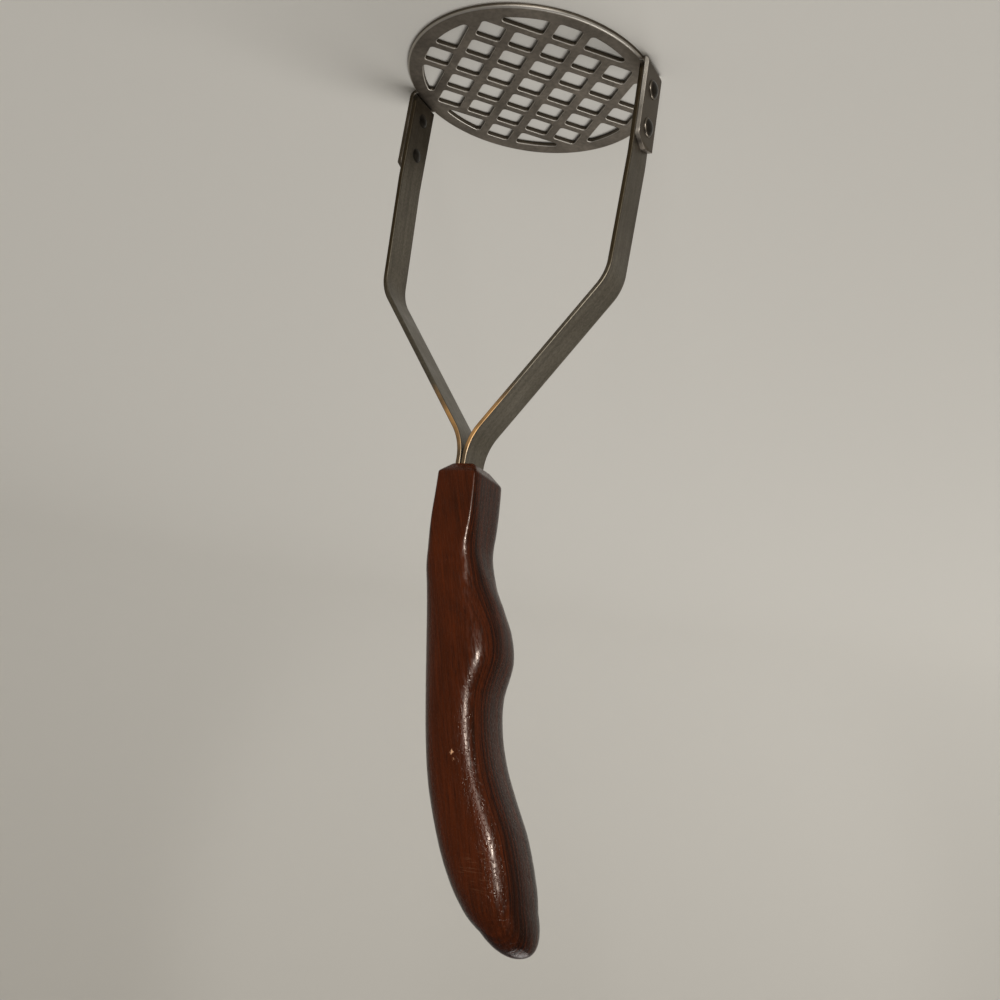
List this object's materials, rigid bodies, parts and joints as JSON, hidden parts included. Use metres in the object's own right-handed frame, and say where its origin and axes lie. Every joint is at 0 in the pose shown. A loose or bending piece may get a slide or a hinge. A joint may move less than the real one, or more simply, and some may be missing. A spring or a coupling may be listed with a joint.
{
  "type": "potato masher",
  "caption": "Hand masher: a round perforated steel plate on two riveted strap legs that meet in a curved, dark hardwood handle.",
  "frame": {"origin": "centre of the mashing plate's underside", "axes": "+Z from the plate up to the handle; X runs through the two ears, with +X to the finger side that the handle curves to; +Y is a side of the straps"},
  "size_m": [0.0894, 0.0826, 0.2677],
  "materials": {
    "steel": "worn satin",
    "laminated_wood": "gloss"
  },
  "bodies": {
    "root": {"mashing_plate": "steel", "left_leg": "steel", "right_leg": "steel", "rivet_left_lower": "steel", "rivet_left_upper": "steel", "rivet_right_lower": "steel", "rivet_right_upper": "steel", "handle": "laminated_wood"}
  },
  "joints": []
}
